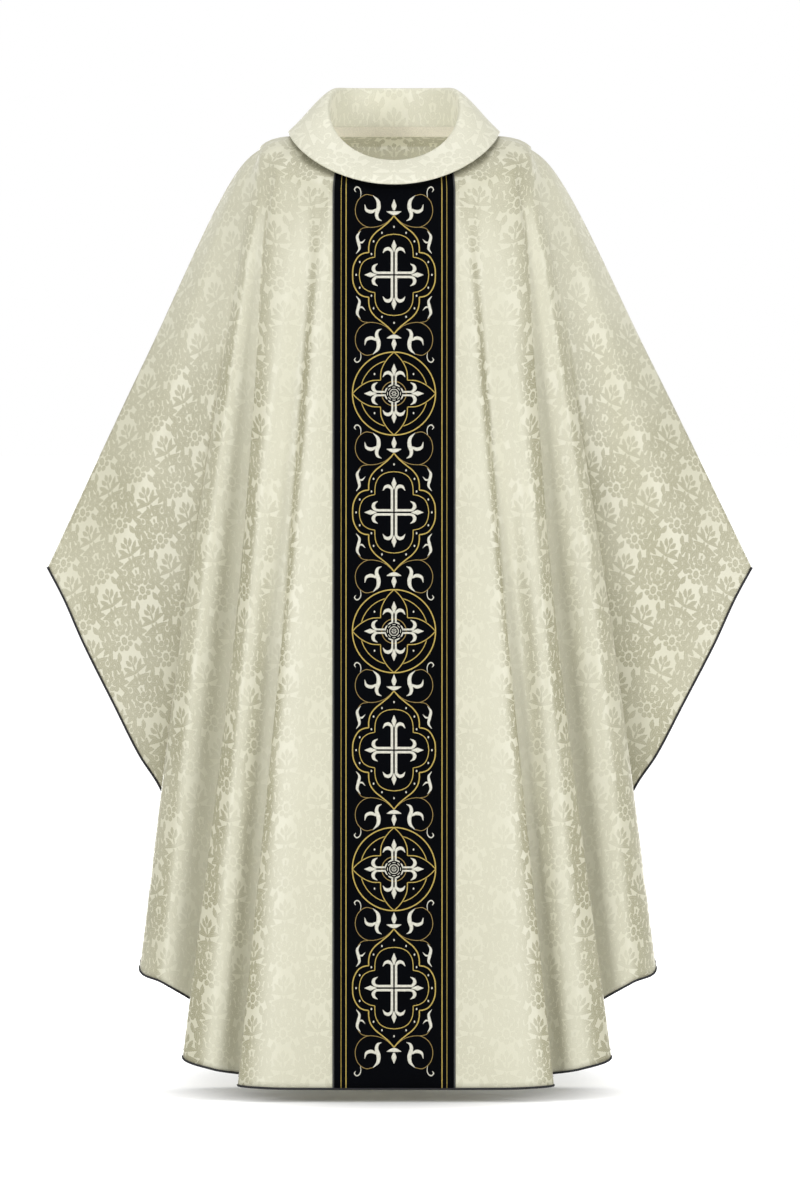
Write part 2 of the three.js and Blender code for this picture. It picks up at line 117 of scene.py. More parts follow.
def catmull_rom(points, places):
    """Centripetal splines through points (N, M, 3), at places from 0 to 1, as (T, M, 3)."""
    points = np.asarray(points, float)
    ends = (2 * points[:1] - points[1:2], 2 * points[-1:] - points[-2:-1])
    padded = np.concatenate([ends[0], points, ends[1]])
    out = []
    for place in places:
        along = min(max(place, 0.0), 1.0) * (len(points) - 1)
        span = min(int(along), len(points) - 2)
        t = along - span
        a, b, c, d = padded[span:span + 4]
        step = [np.sqrt(np.linalg.norm(q - p, axis=-1, keepdims=True)) for p, q in ((a, b), (b, c), (c, d))]
        middle = np.where(step[1] < 1e-4, 1.0, step[1])
        first = np.where(step[0] < 1e-4, middle, step[0])
        last = np.where(step[2] < 1e-4, middle, step[2])
        leave = ((b - a) / first - (c - a) / (first + middle) + (c - b) / middle) * middle
        arrive = ((c - b) / middle - (d - b) / (middle + last) + (d - c) / last) * middle
        out.append(b + leave * t + (-3 * b + 3 * c - 2 * leave - arrive) * t ** 2
                   + (2 * b - 2 * c + leave + arrive) * t ** 3)
    return np.array(out)


def bezier(start, leave, arrive, end, t):
    """Places on a cubic curve, at t from 0 to 1."""
    u = 1 - t
    return u ** 3 * start + 3 * t * u ** 2 * leave + 3 * t ** 2 * u * arrive + t ** 3 * end


def unit(vectors):
    """Vectors scaled to a length of one."""
    return vectors / np.maximum(np.linalg.norm(vectors, axis=-1, keepdims=True), 1e-12)


def smooth_step(x, low, high):
    """Rises from 0 at low to 1 at high."""
    t = np.clip((x - low) / (high - low), 0, 1)
    return t * t * (3 - 2 * t)


def ring_point(degrees, half, front, back, height):
    """Points on an oval round the neck, where 0 degrees is the front and 180 the back."""
    angle = np.radians(np.asarray(degrees, float))
    c = np.cos(angle)
    return np.stack([half * np.sin(angle), -np.where(c > 0, front, back) * c, height(c)], axis=-1)


def neck_seam(degrees):
    """The seam where the collar meets the panels."""
    return ring_point(degrees, *NECK_SEAM,
                      lambda c: SEAM_HEIGHT - np.where(c > 0, SEAM_FALL * np.abs(c) ** 1.2, 2 * c))


def collar_top(degrees):
    """The fold at the top of the collar."""
    def height(c):
        behind = TOP_RISE_BEHIND * np.sin(np.pi / 2 * np.clip(-c / 0.6, 0, 1))
        return TOP_HEIGHT + np.where(c > 0, -TOP_FALL * c, behind)

    return ring_point(degrees, *COLLAR_TOP, height)


def collar_edge(degrees):
    """The free edge of the collar, which lies over the shoulders."""
    return ring_point(degrees, *COLLAR_EDGE,
                      lambda c: EDGE_HEIGHT - np.where(c > 0, EDGE_FALL * np.abs(c) ** 1.4, 0))


def to_metres(points):
    """Points above the hem in millimetres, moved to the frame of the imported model."""
    return (points - np.array([0, 0, SHOULDER_HEIGHT])) * MM


# ---- The drape ----


def station_points(face):
    """The fold lines' points on one face, as (line, station, xyz)."""
    lines = np.array([line[1:] for line in FOLD_LINES], float)
    if face == "front":
        lines[:, :, 1] *= -1
        return lines
    lines[:, :, 1] *= np.array([BACK["crest_depth"], BACK["drop_depth"], BACK["depth"], BACK["depth"]])
    lines[:-1, 0, 2] = np.maximum(lines[:-1, 0, 2], BACK["crest_height"])
    lines[:-1, 1, 2] = np.maximum(lines[:-1, 1, 2], BACK["drop_height"])
    lines[:-1, 3, 2] += BACK["lift"]
    return lines


def half_panel(face):
    """The outer surface of half a panel, from the middle to the shoulder seam, as (row, column, xyz)."""
    lines = station_points(face)
    spans = len(FOLD_LINES) - 1
    flat = np.repeat(lines[:1], FLAT_COLUMNS, axis=0)
    flat[:, :, 0] = np.linspace(0, FLAT_HALF, FLAT_COLUMNS, endpoint=False)[:, None]
    places = np.arange(spans * COLUMNS_PER_SPAN + 1) / (spans * COLUMNS_PER_SPAN)
    stations = np.concatenate([flat, catmull_rom(lines, places)])
    necks = [line[0] for line in FOLD_LINES]
    angles = np.concatenate([flat[:, 0, 0] / FLAT_HALF * necks[0],
                             np.interp(places * spans, np.arange(spans + 1), necks)])
    neck = neck_seam(angles if face == "front" else 180 - angles)
    down = np.concatenate([np.linspace(k / 3, (k + 1) / 3, rows, endpoint=False)
                           for k, rows in enumerate(ROWS_BELOW)] + [[1.0]])
    below = catmull_rom(stations.transpose(1, 0, 2), down)
    crest = below[0]
    slope = unit(unit(catmull_rom(stations.transpose(1, 0, 2), [1e-4])[0] - crest) + unit(crest - neck))
    leave = neck + (crest - neck) / 3
    arrive = crest - slope * np.linalg.norm(crest - neck, axis=-1, keepdims=True) / 3
    t = (np.arange(ROWS_TO_CREST) / ROWS_TO_CREST)[:, None, None]
    return np.concatenate([bezier(neck, leave, arrive, crest, t), below])


def flat_layout(points):
    """Where half a panel's points lie once the cloth is laid flat, as (row, column, xy)."""
    down = np.vstack([np.zeros(points.shape[1]),
                      np.cumsum(np.linalg.norm(np.diff(points, axis=0), axis=2), axis=0)])
    tangents = unit(np.gradient(points, axis=0))
    flat = np.zeros(points.shape[:2] + (2,))
    start = np.zeros(2)
    angle = 0.0
    for c in range(points.shape[1]):
        if c:
            step = points[:, c] - points[:, c - 1]
            along = (step * tangents[:, c - 1]).sum(axis=1)
            width = np.linalg.norm(step - along[:, None] * tangents[:, c - 1], axis=1)
            spread, near = np.polyfit(down[:, c - 1], width, 1)
            start = start + near * np.array([math.cos(angle), math.sin(angle)]) \
                + along[0] * np.array([math.sin(angle), -math.cos(angle)])
            angle += spread * WING_TURN
        flat[:, c] = start + down[:, c, None] * np.array([math.sin(angle), -math.cos(angle)])
    return flat


def whole_panel(face):
    """A panel's outer points and their places on the flat cloth, from -X to +X, in metres."""
    half = half_panel(face)
    flat = flat_layout(half)
    sides = []
    for sign in (-1, 1):
        side = half.copy()
        beyond = side[:, :, 0] > FLAT_HALF
        spread = 1 + sign * SIDE_SPREAD
        wider = FLAT_HALF + (side[:, :, 0] - FLAT_HALF) * spread
        side[:, :, 0] = np.where(beyond, wider, side[:, :, 0]) * sign
        sides.append(side)
    points = np.concatenate([sides[0][:, :0:-1], sides[1]], axis=1)
    laid = np.concatenate([flat[:, :0:-1] * [-1, 1], flat], axis=1)
    outward = -1 if face == "front" else 1
    points[:, (0, -1), 1] = outward * SEAM_GAP
    return to_metres(points), laid * MM


PANELS = {face: whole_panel(face) for face in FACES}
MIDDLE = PANELS["front"][0].shape[1] // 2

# ---- Meshes ----


def link(name, vertices, faces, uvs=None, wrap=None):
    """A new piece from vertices and faces, with one UV for each vertex.

    On a ring of quads whose U starts again after a length of wrap, the last column's U runs on.
    """
    mesh = bpy.data.meshes.new(name)
    mesh.from_pydata([tuple(v) for v in vertices], [], faces)
    mesh.update()
    if uvs is not None:
        layer = mesh.uv_layers.new(name="flat")
        loops = np.empty(len(mesh.loops), int)
        mesh.loops.foreach_get("vertex_index", loops)
        values = np.asarray(uvs, float)[loops]
        if wrap:
            along = values[:, 0].reshape(-1, 4)
            along[along < along.max(axis=1, keepdims=True) - wrap / 2] += wrap
        layer.data.foreach_set("uv", values.ravel())
    mesh.polygons.foreach_set("use_smooth", [True] * len(mesh.polygons))
    piece = bpy.data.objects.new(name, mesh)
    bpy.context.collection.objects.link(piece)
    return piece


def grid_faces(rows, columns, ring=False, flip=False):
    """The quads of a grid of vertices, in row order."""
    quads = []
    for r in range(rows - 1):
        for c in range(columns if ring else columns - 1):
            d = (c + 1) % columns
            quad = (r * columns + c, (r + 1) * columns + c, (r + 1) * columns + d, r * columns + d)
            quads.append(quad[::-1] if flip else quad)
    return quads


def apply_modifiers(piece):
    """Makes the piece's modifiers part of its mesh."""
    evaluated = piece.evaluated_get(bpy.context.evaluated_depsgraph_get())
    mesh = bpy.data.meshes.new_from_object(evaluated)
    piece.modifiers.clear()
    piece.data = mesh


def thicken(piece, thickness):
    """Gives a sheet its thickness, on the side away from its faces."""
    solidify = piece.modifiers.new("thickness", "SOLIDIFY")
    solidify.thickness = thickness
    solidify.offset = -1
    solidify.use_even_offset = False
    apply_modifiers(piece)


def belongs(piece, material, slot, *nodes):
    """Gives a piece its body and material, and hides the CAD nodes that it stands for; the slot, its
    finish, is not used.
    """
    piece.data.materials.clear()
    piece.data.materials.append(material)
    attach(piece, "root")
    if nodes:
        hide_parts(*nodes)
    return piece


# ---- Material nodes ----


class Shader:
    """A material with one Principled shader, and short calls to build its nodes."""

    def __init__(self, name, **constants):
        self.material = bpy.data.materials.new(name)
        self.material.use_nodes = True
        self.tree = self.material.node_tree
        self.surface = self.tree.nodes["Principled BSDF"]
        for key, value in constants.items():
            self.surface.inputs[key.replace("_", " ")].default_value = value

    def node(self, kind, inputs=(), **settings):
        """A node with its settings, and its inputs by index or name."""
        node = self.tree.nodes.new("ShaderNode" + kind)
        for key, value in settings.items():
            setattr(node, key, value)
        for key, value in dict(inputs).items():
            if isinstance(value, bpy.types.NodeSocket):
                self.tree.links.new(value, node.inputs[key])
            elif value is not None:
                node.inputs[key].default_value = value
        return node

    def math(self, operation, a, b=None, c=None):
        """A Math node's value."""
        return self.node("Math", {0: a, 1: b, 2: c}, operation=operation).outputs[0]

    def step(self, value, low, high, start=0.0, end=1.0):
        """A smooth step of a value, from start at low to end at high."""
        inputs = {"Value": value, "From Min": low, "From Max": high, "To Min": start, "To Max": end}
        return self.node("MapRange", inputs, interpolation_type="SMOOTHSTEP").outputs[0]

    def noise(self, scale, detail=2.0, roughness=0.5, vector=None):
        """A noise value around 0.5."""
        inputs = {"Vector": vector, "Scale": scale, "Detail": detail, "Roughness": roughness}
        return self.node("TexNoise", inputs).outputs[0]

    def blend(self, amount, a, b):
        """A colour between a and b."""
        return self.node("Mix", {0: amount, 6: a, 7: b}, data_type="RGBA").outputs[2]

    def tint(self, colour, amount):
        """A colour made lighter or darker by an amount around 1."""
        grey = self.node("CombineColor", {0: amount, 1: amount, 2: amount}).outputs[0]
        inputs = {0: 1.0, 6: colour, 7: grey}
        return self.node("Mix", inputs, data_type="RGBA", blend_type="MULTIPLY").outputs[2]

    def connect(self, colour=None, roughness=None, height=None, distance=0.0002, strength=1.0):
        """Links the colour, the roughness and a height in units of distance to the shader."""
        links = self.tree.links
        if colour is not None:
            links.new(colour, self.surface.inputs["Base Color"])
        if roughness is not None:
            links.new(roughness, self.surface.inputs["Roughness"])
        if height is not None:
            bump = self.node("Bump", {"Height": height, "Distance": distance, "Strength": strength})
            links.new(bump.outputs[0], self.surface.inputs["Normal"])
        return self.material


def srgb(red, green, blue):
    """A colour given as 8-bit sRGB."""
    linear = [(v / 255 / 12.92) if v / 255 <= 0.04045 else ((v / 255 + 0.055) / 1.055) ** 2.4
              for v in (red, green, blue)]
    return (*linear, 1.0)


# The damask's repeat is half a tile wide and half a tile high, mirrored and dropped by half.
HALF_TILE = (55.0, 53.0)
# A fine ripple makes the leaves' edges lobed: its height, and its length across and down.
RIPPLE = (0.3, 3.8, 3.4)
# Where a lighter vein runs inside each shape, from 0 in its middle to 1 at its edge.
VEIN = 0.42


def wreath(x, y, wide, tall, angles, length, half, kind, twist=0, bend=0):
    """Shapes on an oval around a point, each pointing away from it or twisted to one side."""
    return [(x + wide * math.sin(math.radians(a)), y + tall * math.cos(math.radians(a)), length, half,
             a + twist, bend, kind) for a in angles]


# Shapes of the figure: across, down, half length, half width, turn of the length away from straight
# down in degrees, bend, and 'oval' or 'leaf'.
FLOWER = [
    (0, 2.4, 6.2, 4.8, 0, 0, "oval"),
    (0, 13.7, 3.9, 4.3, 0, 0, "oval"),
    *wreath(0, 1.5, 10.8, 12.4, (44, 84, 124, 164), 4.3, 3.7, "oval"),
    *wreath(0, 1.0, 18.0, 19.4, (74, 100.5, 127, 153.5, 180), 4.3, 4.1, "oval"),
    *wreath(0, 1.0, 21.0, 27.0, (152, 130), 3.6, 1.9, "leaf"),
    (0, -26.4, 3.6, 1.8, 0, 0, "leaf"),
]
SPRIG = [
    (0, 31, 6.0, 3.2, 0, 0, "leaf"),
    (5.6, 36.0, 7.0, 3.2, 152, 0.3, "leaf"),
    (10.4, 43.0, 8.0, 3.2, 132, 0.35, "leaf"),
    (0, 44, 9.5, 1.6, 0, 0, "leaf"),
]
ACANTHUS = [
    (9.5, 51.5, 12.5, 3.6, 100, -0.5, "leaf"),
    (26.5, 52.5, 2.8, 2.4, 0, 0, "oval"),
    *wreath(27.5, 52, 7.8, 7.8, (-40, 14, 68, 122, 176, 230), 8.0, 3.9, "leaf", -42, 0.7),
    (17.5, 72, 3.4, 2.8, 0, 0, "oval"),
    *wreath(17, 72.5, 9.5, 11.0, (-150, -107, -63, -20, 23, 67, 110), 9.4, 4.2, "leaf", 44, -0.7),
    (31.0, 84.0, 11.0, 4.6, 6, -0.45, "leaf"),
    (23.0, 91.5, 8.5, 3.6, -16, -0.35, "leaf"),
    (38.0, 74.0, 8.5, 3.8, 160, 0.35, "leaf"),
    (3.8, 64, 10, 3.0, 4, 0.35, "leaf"),
]
FIGURE = FLOWER + SPRIG + ACANTHUS


def copies_in_tile(shapes):
    """The mirrored and dropped copies of the shapes that reach into the first half tile."""
    width, height = HALF_TILE
    kept = {}
    for x, y, length, wide, turn, bend, kind in shapes:
        reach = max(length, wide) * (1.15 + abs(bend) / 2)
        for mirror in (1, -1):
            for i in range(-4, 5):
                for j in range(-3, 4):
                    at = (mirror * x + width * i, y + height * j)
                    inside = -reach < at[0] < width + reach and -reach < at[1] < height + reach
                    if (i + j) % 2 == 0 and inside:
                        side = mirror if bend or turn else 1
                        key = (round(at[0], 2), round(at[1], 2), length, side * turn)
                        kept[key] = (*at, length, wide, side * turn, side * bend, kind)
    return list(kept.values())


def nearest_shape(shader, x, y, shapes):
    """How near a place is to a shape: under 1 inside and over 1 outside.

    Each place carries the last result as its third number, flattened away, so that the shapes are
    worked out one after another and the shader stays small.
    """
    nearest = None
    for at_x, at_y, length, wide, turn, bend, kind in copies_in_tile(shapes):
        place = shader.node("CombineXYZ", {0: x, 1: y, 2: nearest}).outputs[0]
        inputs = {0: place, 1: (at_x, at_y, 0), 2: (0, 0, math.radians(-turn)), 3: (wide, length, 1e6)}
        local = shader.node("Mapping", inputs, vector_type="TEXTURE").outputs[0]
        if kind == "oval":
            value = shader.node("VectorMath", {0: local}, operation="LENGTH").outputs[1]
        else:
            parts = shader.node("SeparateXYZ", {0: local}).outputs
            along = shader.math("MULTIPLY", parts[1], parts[1])
            curve = bend * length / wide / 2
            across = parts[0]
            if curve:
                across = shader.math("ADD", shader.math("MULTIPLY_ADD", along, -curve, parts[0]), curve / 2)
            value = shader.math("ADD", shader.math("ABSOLUTE", across), along)
        nearest = value if nearest is None else shader.math("MINIMUM", nearest, value)
    return nearest


def damask_figure(shader, flat):
    """The woven figure at a place on the flat cloth: 1 on the figure, 0 on the ground, less on a vein."""
    parts = shader.node("SeparateXYZ", {0: flat}).outputs
    height, across_length, down_length = (value * MM for value in RIPPLE)
    ripples = [shader.math("SINE", shader.math("MULTIPLY", part, 2 * math.pi / length))
               for part, length in ((parts[1], down_length), (parts[0], across_length))]
    place = [shader.math("MULTIPLY_ADD", ripple, height, part) for ripple, part in zip(ripples, parts)]
    down = shader.math("MULTIPLY", place[1], -1 / (HALF_TILE[1] * MM))
    row = shader.math("FLOOR", down)
    across = shader.math("ADD", shader.math("MULTIPLY", place[0], 1 / (HALF_TILE[0] * MM)), row)
    x = shader.math("MULTIPLY", shader.math("PINGPONG", across, 1.0), HALF_TILE[0])
    y = shader.math("MULTIPLY", shader.math("SUBTRACT", down, row), HALF_TILE[1])
    nearest = nearest_shape(shader, x, y, FIGURE)
    solid = shader.step(nearest, 0.84, 1.06, 1.0, 0.0)
    from_vein = shader.math("ABSOLUTE", shader.math("SUBTRACT", nearest, VEIN))
    return shader.math("MULTIPLY", solid, shader.step(from_vein, 0.03, 0.13, 0.55, 1.0))


def damask(name, ground, aside, figure):
    """Damask: a satin ground, darkened by painted shade where the cloth turns aside, and a duller woven
    figure.
    """
    shader = Shader(name, Sheen_Weight=0.15, Sheen_Roughness=0.45, Specular_IOR_Level=0.55)
    flat = shader.node("UVMap", uv_map="flat").outputs[0]
    mask = damask_figure(shader, flat)
    # The painted shade and sheen map: it darkens the ground towards the aside colour and brings out the
    # figure.
    painted_turn_shade = shader.node("Attribute", attribute_name="painted_turn_shade").outputs["Fac"]
    patches = shader.step(shader.noise(9.0, 2.0, vector=flat), 0.3, 0.7, 0.8, 1.15)
    amount = shader.math("MULTIPLY", mask, shader.math("MULTIPLY", painted_turn_shade, patches))
    coarse = shader.step(shader.noise(6.0, 3.0, vector=flat), 0.3, 0.7, 0.985, 1.012)
    threads = shader.node("Mapping", {0: flat, 3: (1600, 240, 1)}).outputs[0]
    weave = shader.noise(1.0, 2.0, 0.6, threads)
    slub = shader.step(weave, 0.3, 0.7, 0.975, 1.02)
    satin = shader.blend(painted_turn_shade, ground, aside)
    colour = shader.tint(shader.blend(amount, satin, figure), shader.math("MULTIPLY", coarse, slub))
    height = shader.math("MULTIPLY_ADD", mask, 0.8, shader.math("MULTIPLY", weave, 0.5))
    return shader.connect(colour, shader.step(mask, 0, 1, 0.37, 0.52), height, 0.00025, 0.5)


def velvet():
    """Black cotton velvet with a short, slightly uneven nap."""
    shader = Shader("black_velvet", Sheen_Weight=0.03, Sheen_Roughness=0.3, Specular_IOR_Level=0.04)
    place = shader.node("TexCoord").outputs["Object"]
    nap = shader.noise(1800.0, 2.0, vector=place)
    cloud = shader.noise(18.0, 3.0, vector=place)
    dark = shader.step(cloud, 0.3, 0.7, 0.8, 1.25)
    colour = shader.tint(srgb(4, 5, 8), shader.math("MULTIPLY", dark, shader.step(nap, 0.3, 0.7, 0.7, 1.3)))
    return shader.connect(colour, shader.step(cloud, 0.3, 0.7, 0.85, 0.95), nap, 0.0004, 0.5)


def thread(name, colour, dark, pitch, metallic, roughness, **constants):
    """Stitched or twisted thread, with strands laid across the length of the piece."""
    shader = Shader(name, Metallic=metallic, **constants)
    flat = shader.node("UVMap", uv_map="flat").outputs[0]
    parts = shader.node("SeparateXYZ", {0: flat}).outputs
    slant = shader.math("MULTIPLY_ADD", parts[1], 0.5, parts[0])
    strand = shader.math("PINGPONG", slant, pitch / 2)
    round_top = shader.step(strand, 0, pitch / 2)
    worn = shader.noise(260.0, 2.0, 0.6, flat)
    # Painted shade in the grooves between strands and painted highlight on their crests.
    strands = shader.step(round_top, 0, 1, 0.72, 1.08)
    shade = shader.math("MULTIPLY", strands, shader.step(worn, 0.3, 0.7, 0.86, 1.1))
    mixed = shader.blend(shader.step(worn, 0.62, 0.72, 0.0, 0.6), colour, dark)
    shine = shader.step(worn, 0.3, 0.7, roughness - 0.06, roughness + 0.08)
    return shader.connect(shader.tint(mixed, shade), shine, round_top, 0.0003, 0.7)


def plain_weave(name, colour, scale, roughness):
    """A plain woven or felted cloth."""
    shader = Shader(name, Sheen_Weight=0.1, Specular_IOR_Level=0.3)
    place = shader.node("TexCoord").outputs["Object"]
    fine = shader.noise(scale, 2.0, 0.6, place)
    cloud = shader.noise(25.0, 3.0, vector=place)
    threads = shader.step(fine, 0.3, 0.7, 0.88, 1.06)
    shade = shader.math("MULTIPLY", threads, shader.step(cloud, 0.3, 0.7, 0.95, 1.03))
    dull = shader.step(fine, 0.3, 0.7, roughness, 0.95)
    return shader.connect(shader.tint(colour, shade), dull, fine, 0.0003, 0.6)


# Each damask: ground, the ground's painted shade where the cloth turns aside, and figure.
IVORY = damask("ivory_damask", srgb(217, 215, 194), srgb(206, 203, 179), srgb(160, 156, 127))
PALE_IVORY = damask("pale_damask", srgb(228, 226, 207), srgb(226, 224, 204), srgb(214, 212, 191))
VELVET = velvet()
GOLD = thread("gold_stitches", srgb(206, 180, 90), srgb(130, 108, 46), 0.0011, 0.2, 0.42)
FINE_GOLD = thread("fine_gold_stitches", srgb(172, 146, 82), srgb(104, 86, 46), 0.0009, 0.2, 0.5)
SILVER = thread("silver_stitches", srgb(232, 230, 214), srgb(158, 152, 132), 0.0012, 0.0, 0.45)
CHARCOAL = thread("charcoal_cord", srgb(34, 34, 38), srgb(18, 18, 20), 0.0016, 0.0, 0.75)
EDGING = thread("orphrey_cord", srgb(84, 85, 84), srgb(50, 50, 52), 0.0014, 0.0, 0.9,
                Specular_IOR_Level=0.1)
TAPE = plain_weave("tape_twill", srgb(227, 221, 201), 900.0, 0.75)
FELT = plain_weave("interlining_felt", srgb(236, 232, 222), 500.0, 0.85)

# ---- The camera, square on, and far enough off for almost no perspective ----

VIEW_HEIGHT = 1.68
DISTANCE = 40.0
MIDDLE_OF_VIEW = (0.0084, -0.15, -0.644)
camera = bpy.data.objects.new("camera", bpy.data.cameras.new("camera"))
bpy.context.collection.objects.link(camera)
camera.data.sensor_width = 36
camera.data.lens = camera.data.sensor_width * DISTANCE / VIEW_HEIGHT
camera.data.clip_end = 200
camera.location = (MIDDLE_OF_VIEW[0], MIDDLE_OF_VIEW[1] - DISTANCE, MIDDLE_OF_VIEW[2])
camera.rotation_euler = (math.radians(90), 0, 0)
bpy.context.scene.camera = camera

# ---- Panels ----


def contrast_of(points):
    """How strongly the figure shows and the satin ground darkens, as painted shade and sheen: strongest
    where the cloth turns away from the front, and on the wings, where its grain runs aslant.

    It shows faintly on the rest of the cloth, and less near the shoulders than further down.
    """
    across = np.gradient(points, axis=1)
    down = np.gradient(points, axis=0)
    normals = unit(np.cross(down, across))
    aside = 1 - normals[:, :, 1] ** 2
    aside[:, 2:-2] = sum(aside[:, k:aside.shape[1] - 4 + k] for k in range(5)) / 5
    painted_turn_shade = smooth_step(aside, 0.07, 0.36)
    columns = np.abs(np.arange(points.shape[1]) - MIDDLE) - FLAT_COLUMNS
    wing = smooth_step(columns / COLUMNS_PER_SPAN, 7.5, 12.5)[None]
    lower = smooth_step(-points[:, :, 2], 0.10, 0.55)
    shoulder = 0.6 + 0.4 * smooth_step(-points[:, :, 2], 0.12, 0.40)
    plain = 0.28 - 0.14 * smooth_step(columns / COLUMNS_PER_SPAN, -0.5, 1.0)[None]
    strongest = np.maximum(painted_turn_shade * (1 - 0.7 * wing), wing * (0.2 + 0.5 * lower))
    return plain + (1 - plain) * shoulder * strongest


def panel(face):
    """One panel of damask, from wing tip to wing tip."""
    points, laid = PANELS[face]
    rows, columns = points.shape[:2]
    piece = link(f"{face}_cloth", points.reshape(-1, 3), grid_faces(rows, columns, flip=face == "back"),
                 laid.reshape(-1, 2))
    # The painted shade and sheen map, kept on the points for the damask to read.
    attribute = piece.data.attributes.new("painted_turn_shade", "FLOAT", "POINT")
    attribute.data.foreach_set("value", contrast_of(points).ravel())
    thicken(piece, CLOTH * MM)
    return belongs(piece, IVORY, "damask", f"{face}_panel")


cloths = {face: panel(face) for face in FACES}


# ---- Piping ----


def sweep(name, line, outward, radius, strands=3, pitch=0.009, sides=10):
    """A twisted cord along a line, with its strands as ridges."""
    lengths = np.concatenate([[0], np.cumsum(np.linalg.norm(np.diff(line, axis=0), axis=1))])
    places = np.arange(0, lengths[-1], 0.0016)
    line = np.stack([np.interp(places, lengths, line[:, k]) for k in range(3)], axis=1)
    outward = unit(np.stack([np.interp(places, lengths, outward[:, k]) for k in range(3)], axis=1))
    along = unit(np.gradient(line, axis=0))
    side = unit(np.cross(along, outward))
    up = np.cross(side, along)
    angles = np.arange(sides) * 2 * np.pi / sides
    ridge = 1 + 0.16 * np.abs(np.cos(strands / 2 * (angles[None] - 2 * np.pi * places[:, None] / pitch)))
    around = (np.cos(angles)[None, :, None] * up[:, None] + np.sin(angles)[None, :, None] * side[:, None])
    points = line[:, None] + around * (radius * 0.9 * ridge)[:, :, None]
    uvs = np.stack(np.broadcast_arrays(places[:, None], angles[None] * radius), axis=-1)
    faces = grid_faces(len(places), sides, ring=True, flip=True)
    faces.append(tuple(range(sides)))
    faces.append(tuple((len(places) - 1) * sides + k for k in reversed(range(sides))))
    return link(name, points.reshape(-1, 3), faces, uvs.reshape(-1, 2))


def piping(face):
    """The charcoal cord along a panel's free edge."""
    points = PANELS[face][0]
    edge = points[-1]
    inward = unit(points[-2] - edge)
    along = unit(np.gradient(edge, axis=0))
    outward = unit(-inward + along * (inward * along).sum(axis=1, keepdims=True))
    normal = unit(np.cross(along, outward)) * (1 if face == "front" else -1)
    line = edge + outward * (PIPING_RADIUS * 0.8 * MM)
    line[(0, -1), 1] = (-1 if face == "front" else 1) * PIPING_GAP * MM
    piece = sweep(f"{face}_piping", line, normal, PIPING_RADIUS * MM)
    return belongs(piece, CHARCOAL, "piping", f"{face}_edge_piping")


for face in FACES:
    piping(face)

# ---- The orphrey ----


BAND_ROWS = 700


class Band:
    """The flat middle of a panel, to lay the stitches on."""

    def __init__(self, face):
        flat = PANELS[face][0][:, MIDDLE - FLAT_COLUMNS:MIDDLE + FLAT_COLUMNS + 1].transpose(1, 0, 2)
        self.sign = -1 if face == "front" else 1
        self.heights = np.linspace(flat[:, :, 2].min(), flat[:, :, 2].max(), BAND_ROWS)
        self.depths = np.array([np.interp(self.heights, line[::-1, 2], line[::-1, 1]) for line in flat])

    def depth(self, across, height):
        """How far back the cloth lies at a place on the band."""
        column = np.clip((across / (FLAT_HALF * MM) + 1) * FLAT_COLUMNS, 0, 2 * FLAT_COLUMNS - 1e-6)
        spacing = self.heights[1] - self.heights[0]
        row = np.clip((height - self.heights[0]) / spacing, 0, BAND_ROWS - 1.001)
        c, r = column.astype(int), row.astype(int)
        s, t = column - c, row - r
        near, far = (self.depths[k, r] * (1 - t) + self.depths[k, r + 1] * t for k in (c, c + 1))
        return near * (1 - s) + far * s

    def place(self, across, height, lift):
        """A point on the band: across and height in metres, raised off the cloth by lift."""
        across, height, lift = np.broadcast_arrays(across, height, lift)
        depth = self.depth(across * -self.sign, height)
        slope = (self.depth(across * -self.sign, height + 0.004) - depth) / 0.004
        scale = self.sign / np.sqrt(1 + slope ** 2)
        return np.stack([across * -self.sign, depth + scale * lift, height - slope * scale * lift], axis=-1)


BANDS = {face: Band(face) for face in FACES}
HEM = -SHOULDER_HEIGHT * MM


def strip(name, face, left, right, profile, columns=6):
    """A raised strip down the middle of a panel, whose height across follows a profile from -1 to 1."""
    points = PANELS[face][0][2:]
    across = np.linspace(left, right, columns + 1)
    places = MIDDLE + across / (FLAT_HALF * MM) * FLAT_COLUMNS
    before = np.floor(places).astype(int)
    part = (places - before)[None, :, None]
    normals = unit(np.cross(np.gradient(points, axis=1), np.gradient(points, axis=0)))
    normals *= -1 if face == "front" else 1
    base, normal = (grid[:, before] * (1 - part) + grid[:, before + 1] * part for grid in (points, normals))
    top_side = base + normal * profile(np.linspace(-1, 1, columns + 1))[None, :, None]
    section = np.concatenate([top_side, (base + normal * 0.0001)[:, ::-1]], axis=1)
    lengths = np.concatenate([[0], np.cumsum(np.linalg.norm(np.diff(base[:, 0], axis=0), axis=1))])
    uv_top = np.stack(np.broadcast_arrays(lengths[:, None], across[None]), axis=-1)
    uvs = np.concatenate([uv_top, uv_top[:, ::-1]], axis=1)
    rows, wide = section.shape[:2]
    faces = grid_faces(rows, wide, ring=True, flip=face == "back")
    last = (rows - 1) * wide
    for k in range(columns):
        cap = (k, k + 1, wide - 2 - k, wide - 1 - k)
        faces.append(cap if face == "front" else cap[::-1])
        faces.append(tuple(last + v for v in (cap[::-1] if face == "front" else cap)))
    return link(name, section.reshape(-1, 3), faces, uvs.reshape(-1, 2))


def dome(rise, base=0.0):
    """A rounded profile that is rise high in the middle."""
    return lambda t: base + rise * np.sqrt(np.clip(1 - t ** 2, 0, 1))


def plateau(rise):
    """A flat profile that rounds off at its two edges."""
    return lambda t: rise * np.clip((1 - np.abs(t)) * 12, 0, 1) ** 0.5


